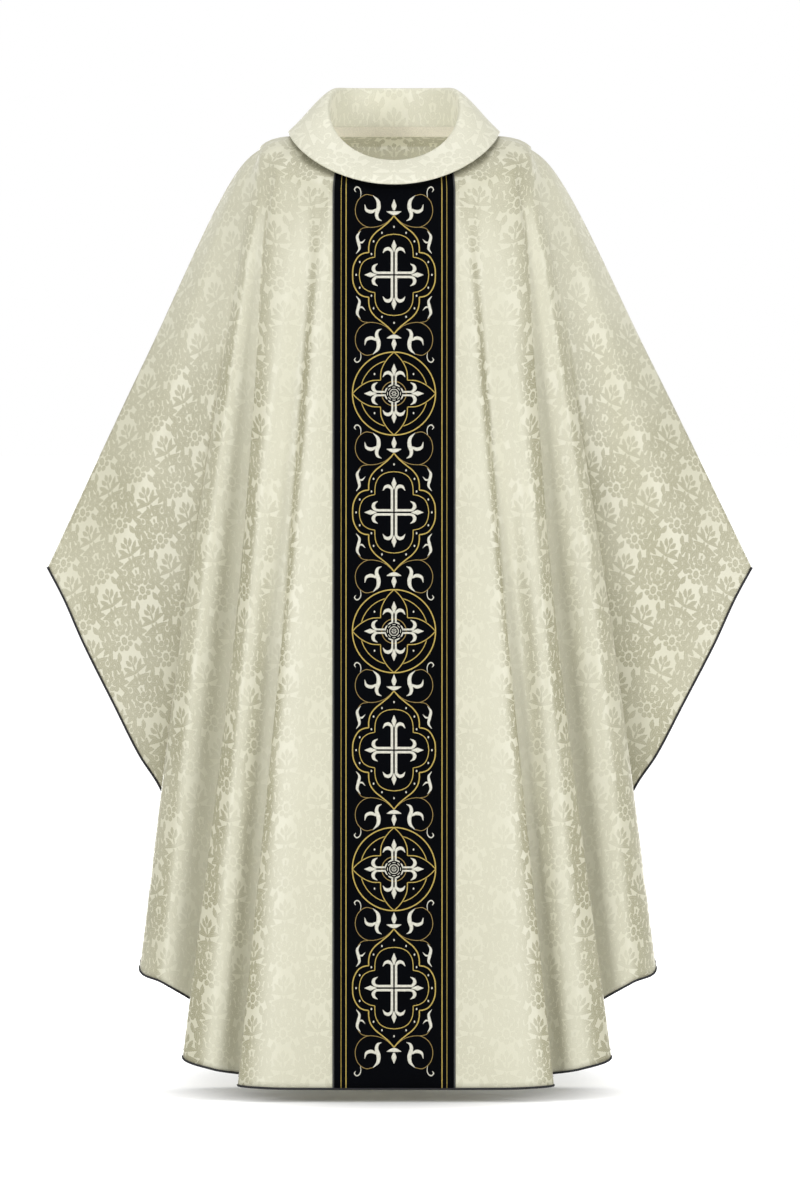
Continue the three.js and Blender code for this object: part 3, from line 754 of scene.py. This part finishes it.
def orphrey(face):
    """The velvet band with its edging and its gold lines."""
    half = ORPHREY_HALF * MM
    band = strip(f"{face}_orphrey_band", face, -half, half, plateau(ORPHREY_TOP * MM), 48)
    belongs(band, VELVET, "orphrey_velvet", f"{face}_orphrey")
    for side, name in ((-1, "left"), (1, "right")):
        left, right = ((side * EDGING_MIDDLE + end * EDGING_WIDTH / 2) * MM for end in (-1, 1))
        edging = strip(f"{face}_edging_{name}", face, left, right, dome(EDGING_RISE * MM))
        belongs(edging, EDGING, "orphrey_edging", f"{face}_orphrey_edging_{name}")
        for line, (middle, width) in GOLD_LINES.items():
            left, right = ((side * middle + end * width / 2) * MM for end in (-1, 1))
            on_velvet = dome(GOLD_RISE * MM, (ORPHREY_TOP - 0.1) * MM)
            gold = strip(f"{face}_gold_{line}_{name}", face, left, right, on_velvet)
            belongs(gold, GOLD, "gold_thread", f"{face}_gold_line_{line}_{name}")


for face in FACES:
    orphrey(face)


# ---- Embroidery: every stroke is a line of (across, up) in millimetres from its motif's centre ----


# A stroke's section, as shares of its half width and of its rise.
STITCH_ACROSS = np.array([-1, -0.72, 0, 0.72, 1])
STITCH_LIFT = np.array([0, 0.72, 1, 0.72, 0])
# How far a stroke's edges sink into the velvet, and how wide a stroke is before it rises fully.
STITCH_SINK = 0.15
FULL_WIDTH = 2.2


class Stitches:
    """A piece of embroidery in one thread, made of raised strokes on the band."""

    def __init__(self, face):
        self.band = BANDS[face]
        self.vertices = []
        self.faces = []
        self.uvs = []

    def stroke(self, line, widths, rise=0.9, step=1.6):
        """A raised stroke along the points of a line, with widths spread evenly along it."""
        line = np.array(line, float)
        rough = np.linalg.norm(np.diff(line, axis=0), axis=1).sum()
        places = np.linspace(0, 1, max(4, int(rough / step)) + 1)
        path = catmull_rom(line[:, None], places)[:, 0]
        width = np.interp(places, np.linspace(0, 1, len(widths)), widths)[:, None]
        tangent = unit(np.gradient(path, axis=0))
        across = np.stack([-tangent[:, 1], tangent[:, 0]], axis=1)
        aside = width / 2 * STITCH_ACROSS
        flat = path[:, None] + across[:, None] * aside[:, :, None]
        high = ORPHREY_TOP - STITCH_SINK + STITCH_LIFT * rise * np.clip(width / FULL_WIDTH, 0.35, 1)
        points = self.band.place(flat[:, :, 0] * MM, HEM + flat[:, :, 1] * MM, high * MM)
        lengths = np.concatenate([[0], np.cumsum(np.linalg.norm(np.diff(path, axis=0), axis=1))])
        uvs = np.stack(np.broadcast_arrays(lengths[:, None], aside), axis=-1) * MM
        base = len(self.vertices)
        size = len(STITCH_ACROSS)
        self.vertices.extend(points.reshape(-1, 3).tolist())
        self.uvs.extend(uvs.reshape(-1, 2).tolist())
        self.faces.extend(tuple(base + k for k in quad)
                          for quad in grid_faces(len(path), size, ring=True))
        self.faces.append(tuple(base + k for k in reversed(range(size))))
        self.faces.append(tuple(base + (len(path) - 1) * size + k for k in range(size)))

    def piece(self, name):
        """The finished embroidery as a piece."""
        return link(name, self.vertices, self.faces, self.uvs)


def mirrored(line, across=True, up=True):
    """The copies of a line in the quarters that it is mirrored into."""
    signs = [(a, b) for a in ((1, -1) if across else (1,)) for b in ((1, -1) if up else (1,))]
    return [[(x * a, y * b) for x, y in line] for a, b in signs]


def arc(radius, start, end, steps):
    """Points along an arc around the centre, from one angle to another."""
    angles = np.radians(np.linspace(start, end, steps + 1))
    return [(radius * math.cos(a), radius * math.sin(a)) for a in angles]


OGEE_OUTER = [(0, 82.8), (7.2, 74.3), (16.9, 66.1), (26.4, 58.4), (33, 49.2), (35.3, 39.5), (35.4, 31.3)]
OGEE_SIDE = [(35.4, 31.3), (42.2, 30.2), (48.6, 26.8), (54, 19.4), (57.2, 10.4), (58, 0)]
OGEE_INNER = [(0, 57.0), (10.6, 55.4), (19.6, 50.4), (25, 41.8), (26.6, 33.5), (26.8, 24.8)]
OGEE_INNER_SIDE = [(26.8, 24.8), (35, 23), (43, 17.8), (47.2, 9.4), (48.7, 0)]
OGEE_PEARLS = [(0, 67.2), (16.9, 58.8), (28.6, 46.9), (31.6, 29.2), (48, 18.0), (53.0, 0)]
SCROLL = [(0.8, 81.8), (13.2, 71.4), (26.5, 67), (38.6, 67.5), (49.4, 75.5), (54.2, 88.7), (50.6, 104),
          (39.8, 112.4), (28.9, 110.9)]
BIG_LEAF = [(29.5, 111.2), (22.6, 103.6), (21.6, 94.5), (24.4, 84.5), (22.6, 78.6), (17.2, 75.6)]
SIDE_LEAF = [(24.5, 91.5), (32.0, 88.4), (38.6, 90.8), (41, 98.6)]
HOOK = [(47, 108.7), (46.3, 115.2), (48.2, 120.4), (52.3, 122.4), (55.4, 118.9), (53.3, 115.9)]
OUTER_LINE = [(36, 66.6), (44.6, 65.0), (50.2, 59.4)]
OUTER_LEAF = [(46.8, 61.5), (51.4, 54), (49.6, 44.5), (48.4, 36.6), (52.9, 29.8)]
OUTER_LEAFLET = [(48.6, 45.6), (44.6, 45.4), (40.2, 50)]
PETAL = [(0, 58.1), (7.4, 50.8), (13.6, 42.0), (18.0, 31.3), (18.8, 18.8)]


def fleury_arm(silver, centre, start, length, strip_width, turn):
    """One arm of a cross: two strips side by side that curl into leaves, and a pointed bud."""
    cos, sin = math.cos(turn), math.sin(turn)

    def at(points):
        return [(centre[0] + x * cos - y * sin, centre[1] + x * sin + y * cos) for x, y in points]

    middle = strip_width / 2 + 0.95
    for side in (1, -1):
        silver.stroke(at([(side * middle, start), (side * middle, length - 17.5)]), [strip_width] * 2)
        leaf = [(side * middle, length - 19), (side * (middle + 0.8), length - 15.4),
                (side * 7.8, length - 12.4), (side * 12.2, length - 13.6), (side * 15.6, length - 18.6)]
        silver.stroke(at(leaf), [strip_width, 4.2, 5.6, 4.4, 0.7], 1.1)
    silver.stroke(at([(0, length - 17), (0, length - 8.4), (0, length)]), [1.0, 7.8, 0.5], 1.2)


def fleury_cross(silver, centre, start, tall, wide, strip_width):
    """A cross whose four arms end in leaves."""
    for k, length in enumerate((tall, wide, tall, wide)):
        fleury_arm(silver, centre, start, length, strip_width, math.pi / 2 * k)


def shifted(line, centre):
    """A line moved to its motif's centre."""
    return [(x + centre[0], y + centre[1]) for x, y in line]


def pearls(silver, centre, places):
    """Small upright oval stitches, repeated in the quarters that they are mirrored into."""
    for x, y in places:
        for copy in mirrored([(x, y)], across=x > 0, up=y > 0):
            px, py = copy[0]
            silver.stroke(shifted([(px, py - 1.5), (px, py + 1.5)], centre), [1.0, 2.5, 2.5, 1.0], 1.0, 0.7)


def ogee_medallion(gold, fine_gold, silver, centre):
    """A pointed four-lobed frame around a cross, with scrolls and finials at both ends."""
    for line, width in ((OGEE_OUTER, 2.0), (OGEE_SIDE, 2.0), (OGEE_INNER, 1.4), (OGEE_INNER_SIDE, 1.4)):
        for copy in mirrored(line):
            gold.stroke(shifted(copy, centre), [width, width])
    pearls(silver, centre, OGEE_PEARLS)
    fleury_cross(silver, centre, 0.95, 49, 41.3, 3.8)
    for line, widths in ((SCROLL, [0.9, 1.0, 1.1, 1.1, 1.1, 1.0]), (OUTER_LINE, [0.9, 1.0, 0.9])):
        for copy in mirrored(line):
            fine_gold.stroke(shifted(copy, centre), widths, 0.8)
    for line, widths in ((BIG_LEAF, [0.6, 5.2, 6.4, 5.4, 4.2, 0.5]), (SIDE_LEAF, [3.0, 5.6, 4.4, 0.5]),
                         (HOOK, [0.7, 1.3, 1.6, 1.9, 1.7, 0.8]), (OUTER_LEAF, [0.5, 4.2, 4.8, 3.6, 0.5]),
                         (OUTER_LEAFLET, [2.2, 2.8, 0.5])):
        for copy in mirrored(line):
            silver.stroke(shifted(copy, centre), widths, 1.1)
    for sign in (1, -1):
        bowl = [(-10.2, sign * 88.6), (0, sign * 86.4), (10.2, sign * 88.6)]
        bud = [(0, sign * 90.2), (0, sign * 97), (0, sign * 105.8)]
        silver.stroke(shifted(bowl, centre), [0.8, 4.6, 6.8, 4.6, 0.8], 1.1)
        silver.stroke(shifted(bud, centre), [3.0, 8.2, 0.5], 1.2)


def rosette(silver, centre):
    """Rings of short strokes around a small circle with spokes."""
    for k in range(8):
        outer = arc(12.4, 45 * k + 4, 45 * k + 41, 5)
        petal = arc(9.2, 45 * k - 16, 45 * k + 16, 4)
        spoke = [(math.cos(math.pi / 4 * k) * r, math.sin(math.pi / 4 * k) * r) for r in (1.2, 4.4)]
        silver.stroke(shifted(outer, centre), [1.0, 2.2, 2.2, 1.0], 1.0, 1.0)
        silver.stroke(shifted(petal, centre), [0.6, 1.3, 0.6], 1.0, 1.0)
        silver.stroke(shifted(spoke, centre), [0.8, 1.3, 0.5], 1.0, 1.0)
    for start in range(0, 360, 90):
        silver.stroke(shifted(arc(6.2, start, start + 90, 6), centre), [1.2, 1.2], 1.0, 1.0)


def round_medallion(gold, fine_gold, silver, centre):
    """A round frame around four petals and a cross, with a small rosette in the middle."""
    for start in range(0, 360, 90):
        gold.stroke(shifted(arc(58.1, start, start + 90, 20), centre), [2.0, 2.0])
        gold.stroke(shifted(arc(47.2, start + 16, start + 74, 12), centre), [1.4, 1.4])
        fine_gold.stroke(shifted(arc(17.1, start, start + 90, 8), centre), [1.3, 1.3])
    for line in mirrored(PETAL):
        gold.stroke(shifted(line, centre), [1.5, 1.5])
        gold.stroke(shifted([(y, x) for x, y in line], centre), [1.5, 1.5])
    pearls(silver, centre, [(27.3, 27.3)])
    fleury_cross(silver, centre, 13.0, 41.7, 41.7, 2.9)
    rosette(silver, centre)


def embroidery(face):
    """All the gold and silver embroidery of one orphrey."""
    gold, fine_gold, silver = Stitches(face), Stitches(face), Stitches(face)
    for k in range(MEDALLIONS["ogee"]):
        ogee_medallion(gold, fine_gold, silver, (0, FIRST_MEDALLION - k * MEDALLION_PITCH))
    for k in range(MEDALLIONS["round"]):
        round_medallion(gold, fine_gold, silver, (0, FIRST_MEDALLION - (k + 0.5) * MEDALLION_PITCH))
    frames = [f"{face}_{kind}_frame_{k + 1}" for kind, count in MEDALLIONS.items() for k in range(count)]
    belongs(gold.piece(f"{face}_gold_embroidery"), GOLD, "gold_thread", *frames)
    belongs(fine_gold.piece(f"{face}_gold_scrolls"), FINE_GOLD, "gold_thread")
    crosses = [name.replace("frame", "cross") for name in frames]
    belongs(silver.piece(f"{face}_silver_embroidery"), SILVER, "silver_thread", *crosses)


for face in FACES:
    embroidery(face)

# ---- The collar ----

COLLAR_COLUMNS = 160
ANGLES = np.arange(COLLAR_COLUMNS) * 360 / COLLAR_COLUMNS


def around(place):
    """Points all round the neck from a function of the angle that only knows one side."""
    points = place(np.minimum(ANGLES, 360 - ANGLES))
    points[:, 0] *= np.where(ANGLES > 180, -1, 1)
    return points


def stand_foot(degrees):
    """The foot of the collar's stand, a little above the neck seam."""
    return neck_seam(degrees) + np.array([0, 0, 3.0])


def collar():
    """A stand that rises from the neck seam, rolls over and falls over the shoulders."""
    foot, top, edge = around(stand_foot), around(collar_top), around(collar_edge)
    angle = np.radians(ANGLES)
    out = np.stack([np.sin(angle), -np.cos(angle), np.zeros_like(angle)], axis=1)
    up = np.array([0, 0, 1.0])
    rows = [foot + (top - foot) * t for t in np.linspace(0, 1, 11)]
    for turn in np.radians(np.linspace(18, 126, 7)):
        rows.append(top + COLLAR_ROLL * (out * (1 - math.cos(turn)) + up * math.sin(turn)))
    start, leave = rows[-1], unit(rows[-1] - rows[-2])
    reach = np.linalg.norm(edge - start, axis=1, keepdims=True)
    first = start + leave * reach * 0.28
    second = edge - unit(edge - start) * reach * 0.3 + (out * 0.5 + up) * 2.0
    for t in np.linspace(0, 1, 25)[1:]:
        rows.append(bezier(start, first, second, edge, t))
    points = np.array(rows)
    lengths = np.vstack([np.zeros(COLLAR_COLUMNS),
                         np.cumsum(np.linalg.norm(np.diff(points, axis=0), axis=2), axis=0)])
    girth = 10 * HALF_TILE[0]
    around_neck = np.broadcast_to(np.linspace(0, girth, COLLAR_COLUMNS, endpoint=False), lengths.shape)
    uvs = np.stack([around_neck, lengths * 0.8], axis=-1)
    piece = link("collar_cloth", to_metres(points).reshape(-1, 3),
                 grid_faces(len(rows), COLLAR_COLUMNS, ring=True, flip=True), uvs.reshape(-1, 2) * MM,
                 wrap=girth * MM)
    # The collar takes the painted turn shade in full, evenly all round.
    attribute = piece.data.attributes.new("painted_turn_shade", "FLOAT", "POINT")
    attribute.data.foreach_set("value", np.ones(len(piece.data.vertices)))
    thicken(piece, COLLAR_CLOTH * MM)
    return belongs(piece, PALE_IVORY, "collar_damask", "collar")


def neck_tape():
    """The tape that covers the neck seam on the inside."""
    seam, foot, top = around(neck_seam), around(stand_foot), around(collar_top)
    angle = np.radians(ANGLES)
    inward = -np.stack([np.sin(angle), -np.cos(angle), np.zeros_like(angle)], axis=1)
    low = seam - np.array([0, 0, 5.0])
    high = foot + (top - foot) * 0.12
    rows = []
    for t in np.linspace(0, 1, 9):
        middle = 1 - abs(2 * t - 1) ** 4
        rows.append(low + (high - low) * t + inward * (2.0 + 0.8 * middle))
    points = to_metres(np.array(rows))
    piece = link("neck_tape_band", points.reshape(-1, 3), grid_faces(len(rows), COLLAR_COLUMNS, ring=True),
                 np.zeros((points.shape[0] * points.shape[1], 2)))
    thicken(piece, TAPE_CLOTH * MM)
    return belongs(piece, TAPE, "neck_tape", "neck_tape")


collar_cloth = collar()
tape = neck_tape()
interlining = bpy.data.objects["collar_interlining"]
interlining.data.materials.clear()
interlining.data.materials.append(FELT)

# ---- Studio ----


def studio():
    """A pale round floor, falling gently to the front, whose painted glow brightens it into the white
    surround.
    """
    size, rings, spokes = 30.0, 24, 48
    vertices = [(0, 0, 0)]
    for k in range(rings):
        radius = size * ((k + 1) / rings) ** 2
        turns = np.arange(spokes) * 2 * np.pi / spokes
        vertices.extend((radius * math.cos(a), radius * math.sin(a), 0) for a in turns)
    faces = [(0, 1 + k, 1 + (k + 1) % spokes) for k in range(spokes)]
    faces += [tuple(1 + v for v in quad) for quad in grid_faces(rings, spokes, ring=True)]
    floor = link("studio_floor", vertices, faces)
    floor.location.z = FLOOR
    floor.rotation_euler.x = FLOOR_SLOPE
    shader = Shader("studio_paper_painted_glow", Specular_IOR_Level=0.0, Roughness=1.0)
    place = shader.node("TexCoord").outputs["Object"]
    shade = shader.step(shader.noise(3.0, 2.0, vector=place), 0.3, 0.7, 0.995, 1.0)
    shader.connect(shader.tint((0.88, 0.88, 0.88, 1), shade))
    around_hem = shader.node("Mapping", {0: place, 1: (0, FLOOR_SHIFT, 0), 3: (*FLOOR_SCALE, 1)}).outputs[0]
    distance = shader.node("VectorMath", {0: around_hem}, operation="LENGTH").outputs[1]
    seen = shader.node("LightPath").outputs["Is Camera Ray"]
    # Painted glow, seen only by the camera: none near the hem, where the shadow shows as a pool, white
    # further off.
    glow = shader.math("MULTIPLY", shader.step(distance, *FLOOR_FADE, *FLOOR_PAINTED_GLOW), seen)
    shader.tree.links.new(glow, shader.surface.inputs["Emission Strength"])
    shader.surface.inputs["Emission Color"].default_value = (1, 1, 1, 1)
    floor.data.materials.append(shader.material)


def area_light(name, place, target, size, power, seen=True):
    """A soft light aimed at a point, seen by the camera or not."""
    light = bpy.data.lights.new(name, "AREA")
    light.shape = "RECTANGLE"
    light.size, light.size_y = size
    light.energy = power
    piece = bpy.data.objects.new(name, light)
    piece.visible_camera = seen
    piece.location = place
    piece.rotation_euler = (Vector(target) - Vector(place)).to_track_quat("-Z", "Y").to_euler()
    bpy.context.collection.objects.link(piece)


def surround():
    """A white surround, which lights the object with less than it shows."""
    world = bpy.data.worlds.new("studio")
    bpy.context.scene.world = world
    world.use_nodes = True
    nodes, links = world.node_tree.nodes, world.node_tree.links
    seen = nodes.new("ShaderNodeLightPath").outputs["Is Camera Ray"]
    strength = nodes.new("ShaderNodeMapRange")
    strength.inputs["To Min"].default_value = SURROUND_LIGHT
    strength.inputs["To Max"].default_value = 1.0
    links.new(seen, strength.inputs["Value"])
    nodes["Background"].inputs[0].default_value = (1, 1, 1, 1)
    links.new(strength.outputs[0], nodes["Background"].inputs[1])


# The floor's height and slope, and its painted glow, which leaves a shadow pool round the hem: the scale
# and the shift of the distance from the hem's middle, the distances the glow rises over, and its glow at
# both.
FLOOR = -1.338
FLOOR_SLOPE = math.radians(2.0)
FLOOR_SCALE = (2.7, 1.0)
FLOOR_SHIFT = -0.4
FLOOR_FADE = (0.6, 1.15)
FLOOR_PAINTED_GLOW = (0.0, 0.75)
SURROUND_LIGHT = 0.60
studio()
surround()
area_light("key", (-3.3, -4.7, 0.2), (0, 0, -0.6), (1.8, 2.2), 107)
area_light("fill", (4.4, -3.9, 0.2), (0, 0, -0.6), (2.2, 2.2), 108)
area_light("neck", (0, -0.02, -0.30), (0, 0.12, -0.01), (0.16, 0.16), 0.50, seen=False)
area_light("top", (-0.3, -0.2, 3.4), (0, 0, 0), (1.6, 1.6), 34)
area_light("back", (-2.0, 5.0, -0.3), (0, 0, -0.6), (2.2, 2.2), 130, seen=False)
area_light("back_fill", (3.4, 4.2, -0.3), (0, 0, -0.6), (2.2, 2.2), 80, seen=False)
bpy.context.scene.view_settings.view_transform = "Standard"
